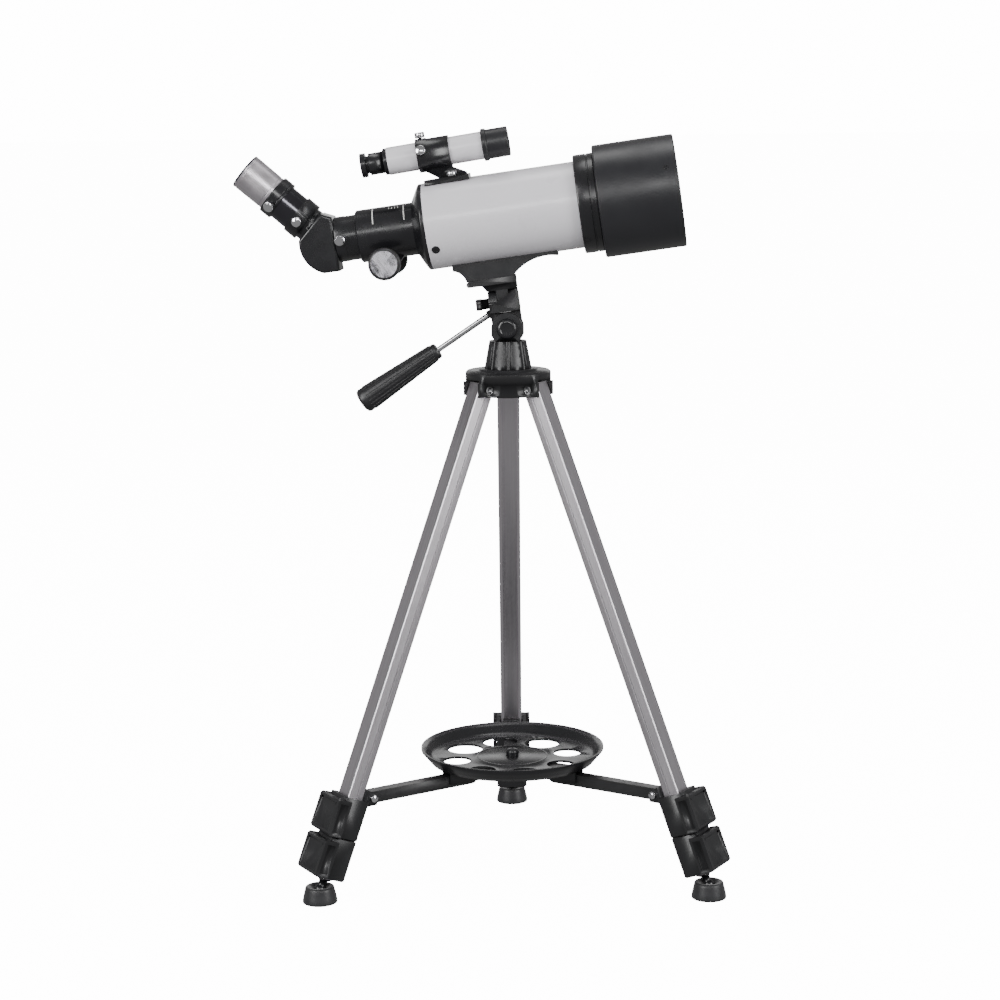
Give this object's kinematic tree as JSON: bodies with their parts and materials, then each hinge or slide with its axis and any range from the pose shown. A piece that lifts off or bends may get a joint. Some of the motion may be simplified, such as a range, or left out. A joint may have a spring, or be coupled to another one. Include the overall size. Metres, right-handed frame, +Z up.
{
  "type": "telescope on tripod",
  "caption": "Small refracting telescope on a pan and tilt head, with an angled eyepiece, a finder scope and a folding three-leg tripod with an accessory tray.",
  "frame": {"origin": "on the floor under the pan axis, midway between the three feet", "axes": "+Z up; +X towards the side that the objective points to at rest; +Y towards the rear leg"},
  "size_m": [0.4259, 0.3291, 0.6628],
  "materials": {
    "white_paint": "gloss",
    "black_gloss": "moulded gloss",
    "black_plastic": "moulded satin",
    "leg_aluminium": "satin anodised",
    "eyepiece_aluminium": "bead blasted",
    "chrome": "bright plated",
    "rubber": "moulded",
    "glass": "polished, coated",
    "steel": "turned"
  },
  "bodies": {
    "hub": {"hub": "black_plastic", "leg_bolts": "chrome"},
    "pan_collar": {"pan_collar": "black_plastic"},
    "pan_yoke": {"pan_yoke": "black_plastic", "tilt_bolt": "black_plastic"},
    "tilt_body": {"tilt_body": "black_plastic"},
    "handle": {"handle_rod": "chrome", "handle_grip": "black_plastic"},
    "flip_knob": {"flip_knob": "black_plastic"},
    "optical_tube": {"platform": "black_plastic", "tube_saddle": "black_plastic", "main_tube": "white_paint", "rear_cell": "black_gloss", "objective_cell": "black_gloss", "objective_lens": "glass", "dew_shield": "black_gloss", "focuser_body": "black_gloss", "finder_bracket": "black_gloss", "finder_tube": "white_paint", "finder_screws": "chrome"},
    "focus_knobs": {"focus_knobs": "black_gloss"},
    "drawtube": {"drawtube": "black_gloss"},
    "drawtube_screw": {"drawtube_screw": "chrome"},
    "diagonal": {"diagonal": "black_gloss", "prism": "glass"},
    "diagonal_screw": {"diagonal_screw": "chrome"},
    "barlow": {"barlow": "black_gloss"},
    "eyepiece": {"eyepiece": "eyepiece_aluminium", "eyepiece_lens": "glass"},
    "finder_eyepiece": {"finder_eyepiece": "black_gloss"},
    "spreader": {"spreader": "black_plastic"},
    "tray": {"tray": "black_plastic"},
    "tray_knob": {"tray_knob": "black_plastic"},
    "leg_1": {"leg_1_tube": "leg_aluminium", "leg_1_clamp": "black_plastic"},
    "leg_1_middle": {"leg_1_mid_tube": "leg_aluminium", "leg_1_mid_clamp": "black_plastic"},
    "leg_1_lower": {"leg_1_lower_tube": "leg_aluminium"},
    "leg_1_lever": {"leg_1_lever": "black_plastic"},
    "leg_1_mid_lever": {"leg_1_mid_lever": "black_plastic"},
    "leg_1_foot": {"leg_1_foot": "rubber"},
    "brace_1": {"brace_1": "black_plastic"},
    "leg_2": {"leg_2_tube": "leg_aluminium", "leg_2_clamp": "black_plastic"},
    "leg_2_middle": {"leg_2_mid_tube": "leg_aluminium", "leg_2_mid_clamp": "black_plastic"},
    "leg_2_lower": {"leg_2_lower_tube": "leg_aluminium"},
    "leg_2_lever": {"leg_2_lever": "black_plastic"},
    "leg_2_mid_lever": {"leg_2_mid_lever": "black_plastic"},
    "leg_2_foot": {"leg_2_foot": "rubber"},
    "brace_2": {"brace_2": "black_plastic"},
    "leg_3": {"leg_3_tube": "leg_aluminium", "leg_3_clamp": "black_plastic"},
    "leg_3_middle": {"leg_3_mid_tube": "leg_aluminium", "leg_3_mid_clamp": "black_plastic"},
    "leg_3_lower": {"leg_3_lower_tube": "leg_aluminium"},
    "leg_3_lever": {"leg_3_lever": "black_plastic"},
    "leg_3_mid_lever": {"leg_3_mid_lever": "black_plastic"},
    "leg_3_foot": {"leg_3_foot": "rubber"},
    "brace_3": {"brace_3": "black_plastic"}
  },
  "joints": [
    {"name": "pan", "type": "hinge", "parent": "hub", "child": "pan_yoke", "pos_m": [0, 0, 0.45149], "axis": [0, 0, 1], "continuous": true},
    {"name": "pan_lock", "type": "hinge", "parent": "hub", "child": "pan_collar", "pos_m": [0, 0, 0.45329], "axis": [0, 0, 1], "range_deg": [0, 90]},
    {"name": "tilt", "type": "hinge", "parent": "pan_yoke", "child": "tilt_body", "pos_m": [0, 0, 0.48859], "axis": [-0.0523, -0.9986, 0], "range_deg": [-40, 20]},
    {"name": "tilt_lock", "type": "hinge", "parent": "tilt_body", "child": "handle", "pos_m": [-0.01022, 0.00054, 0.50376], "axis": [-0.8279, 0.0434, -0.5592], "range_deg": [0, 180]},
    {"name": "flip", "type": "hinge", "parent": "tilt_body", "child": "optical_tube", "pos_m": [-0.00308, 0.00016, 0.51139], "axis": [-0.9896, 0.0519, -0.134], "range_deg": [0, 90]},
    {"name": "flip_lock", "type": "hinge", "parent": "tilt_body", "child": "flip_knob", "pos_m": [-0.00308, 0.00016, 0.51139], "axis": [-0.9896, 0.0519, -0.134], "range_deg": [0, 90]},
    {"name": "focus", "type": "slide", "parent": "optical_tube", "child": "drawtube", "axis": [-0.9896, 0.0519, -0.134], "range_m": [0, 0.04]},
    {"name": "focus_turn", "type": "hinge", "parent": "optical_tube", "child": "focus_knobs", "pos_m": [-0.10362, 0.00543, 0.54702], "axis": [0.0523, 0.9986, 0], "range_deg": [0, 603.12]},
    {"name": "drawtube_screw_turn", "type": "hinge", "parent": "drawtube", "child": "drawtube_screw", "pos_m": [-0.14309, 0.0075, 0.5669], "axis": [-0.0523, -0.9986, 0], "range_deg": [0, 180]},
    {"name": "diagonal_turn", "type": "hinge", "parent": "drawtube", "child": "diagonal", "pos_m": [-0.15477, 0.00811, 0.56532], "axis": [0.9896, -0.0519, 0.134], "continuous": true},
    {"name": "diagonal_screw_turn", "type": "hinge", "parent": "diagonal", "child": "diagonal_screw", "pos_m": [-0.17838, 0.00935, 0.58537], "axis": [-0.1417, -0.9842, -0.1061], "range_deg": [0, 180]},
    {"name": "barlow_pull", "type": "slide", "parent": "diagonal", "child": "barlow", "axis": [-0.7616, 0.0399, 0.6468], "range_m": [0, 0.02]},
    {"name": "eyepiece_pull", "type": "slide", "parent": "barlow", "child": "eyepiece", "axis": [-0.7616, 0.0399, 0.6468], "range_m": [0, 0.02]},
    {"name": "finder_focus", "type": "slide", "parent": "optical_tube", "child": "finder_eyepiece", "axis": [-0.9863, 0.0517, -0.1564], "range_m": [0, 0.006]},
    {"name": "leg_1_fold", "type": "hinge", "parent": "hub", "child": "leg_1", "pos_m": [0, 0.0282, 0.43649], "axis": [-1, 0, 0], "range_deg": [0, 5]},
    {"name": "leg_1_extend", "type": "slide", "parent": "leg_1", "child": "leg_1_middle", "axis": [0, 0.3649, -0.9311], "range_m": [0, 0.28]},
    {"name": "leg_1_extend_lower", "type": "slide", "parent": "leg_1_middle", "child": "leg_1_lower", "axis": [0, 0.3649, -0.9311], "range_m": [0, 0.28]},
    {"name": "leg_1_lever_open", "type": "hinge", "parent": "leg_1", "child": "leg_1_lever", "pos_m": [0, 0.17959, 0.09101], "axis": [1, 0, 0], "range_deg": [0, 90]},
    {"name": "leg_1_mid_lever_open", "type": "hinge", "parent": "leg_1_middle", "child": "leg_1_mid_lever", "pos_m": [0, 0.19295, 0.05694], "axis": [1, 0, 0], "range_deg": [0, 90]},
    {"name": "leg_1_foot_swivel", "type": "hinge", "parent": "leg_1_lower", "child": "leg_1_foot", "pos_m": [0, 0.19495, 0.011], "axis": [-1, 0, 0], "range_deg": [-12, 12]},
    {"name": "brace_1_swing", "type": "hinge", "parent": "leg_1", "child": "brace_1", "pos_m": [0, 0.14447, 0.0869], "axis": [-1, 0, 0], "range_deg": [0, 40.25]},
    {"name": "leg_2_fold", "type": "hinge", "parent": "hub", "child": "leg_2", "pos_m": [-0.02442, -0.0141, 0.43649], "axis": [0.5, -0.866, 0], "range_deg": [0, 5]},
    {"name": "leg_2_extend", "type": "slide", "parent": "leg_2", "child": "leg_2_middle", "axis": [-0.316, -0.1824, -0.9311], "range_m": [0, 0.28]},
    {"name": "leg_2_extend_lower", "type": "slide", "parent": "leg_2_middle", "child": "leg_2_lower", "axis": [-0.316, -0.1824, -0.9311], "range_m": [0, 0.28]},
    {"name": "leg_2_lever_open", "type": "hinge", "parent": "leg_2", "child": "leg_2_lever", "pos_m": [-0.15553, -0.0898, 0.09101], "axis": [-0.5, 0.866, 0], "range_deg": [0, 90]},
    {"name": "leg_2_mid_lever_open", "type": "hinge", "parent": "leg_2_middle", "child": "leg_2_mid_lever", "pos_m": [-0.1671, -0.09647, 0.05694], "axis": [-0.5, 0.866, 0], "range_deg": [0, 90]},
    {"name": "leg_2_foot_swivel", "type": "hinge", "parent": "leg_2_lower", "child": "leg_2_foot", "pos_m": [-0.16883, -0.09747, 0.011], "axis": [0.5, -0.866, 0], "range_deg": [-12, 12]},
    {"name": "brace_2_swing", "type": "hinge", "parent": "leg_2", "child": "brace_2", "pos_m": [-0.12512, -0.07224, 0.0869], "axis": [0.5, -0.866, 0], "range_deg": [0, 40.25]},
    {"name": "leg_3_fold", "type": "hinge", "parent": "hub", "child": "leg_3", "pos_m": [0.02442, -0.0141, 0.43649], "axis": [0.5, 0.866, 0], "range_deg": [0, 5]},
    {"name": "leg_3_extend", "type": "slide", "parent": "leg_3", "child": "leg_3_middle", "axis": [0.316, -0.1824, -0.9311], "range_m": [0, 0.28]},
    {"name": "leg_3_extend_lower", "type": "slide", "parent": "leg_3_middle", "child": "leg_3_lower", "axis": [0.316, -0.1824, -0.9311], "range_m": [0, 0.28]},
    {"name": "leg_3_lever_open", "type": "hinge", "parent": "leg_3", "child": "leg_3_lever", "pos_m": [0.15553, -0.0898, 0.09101], "axis": [-0.5, -0.866, 0], "range_deg": [0, 90]},
    {"name": "leg_3_mid_lever_open", "type": "hinge", "parent": "leg_3_middle", "child": "leg_3_mid_lever", "pos_m": [0.1671, -0.09647, 0.05694], "axis": [-0.5, -0.866, 0], "range_deg": [0, 90]},
    {"name": "leg_3_foot_swivel", "type": "hinge", "parent": "leg_3_lower", "child": "leg_3_foot", "pos_m": [0.16883, -0.09747, 0.011], "axis": [0.5, 0.866, 0], "range_deg": [-12, 12]},
    {"name": "brace_3_swing", "type": "hinge", "parent": "leg_3", "child": "brace_3", "pos_m": [0.12512, -0.07224, 0.0869], "axis": [0.5, 0.866, 0], "range_deg": [0, 40.25]},
    {"name": "spreader_rise", "type": "slide", "parent": "hub", "child": "spreader", "axis": [0, 0, 1], "range_m": [0, 0.062]},
    {"name": "tray_lift", "type": "slide", "parent": "spreader", "child": "tray", "axis": [0, 0, 1], "range_m": [0, 0.04]},
    {"name": "tray_knob_turn", "type": "hinge", "parent": "tray", "child": "tray_knob", "pos_m": [0, 0, 0.09878], "axis": [0, 0, 1], "range_deg": [0, 360]}
  ],
  "couplings": [
    {"joint": "focus_turn", "follows": "focus", "rad_per_m": 263.16},
    {"joint": "brace_1_swing", "follows": "leg_1_fold", "ratio": 8.0482},
    {"joint": "leg_2_fold", "follows": "leg_1_fold", "ratio": 1},
    {"joint": "brace_2_swing", "follows": "leg_1_fold", "ratio": 8.0482},
    {"joint": "leg_3_fold", "follows": "leg_1_fold", "ratio": 1},
    {"joint": "brace_3_swing", "follows": "leg_1_fold", "ratio": 8.0482},
    {"joint": "spreader_rise", "follows": "leg_1_fold", "m_per_rad": 0.71047}
  ]
}
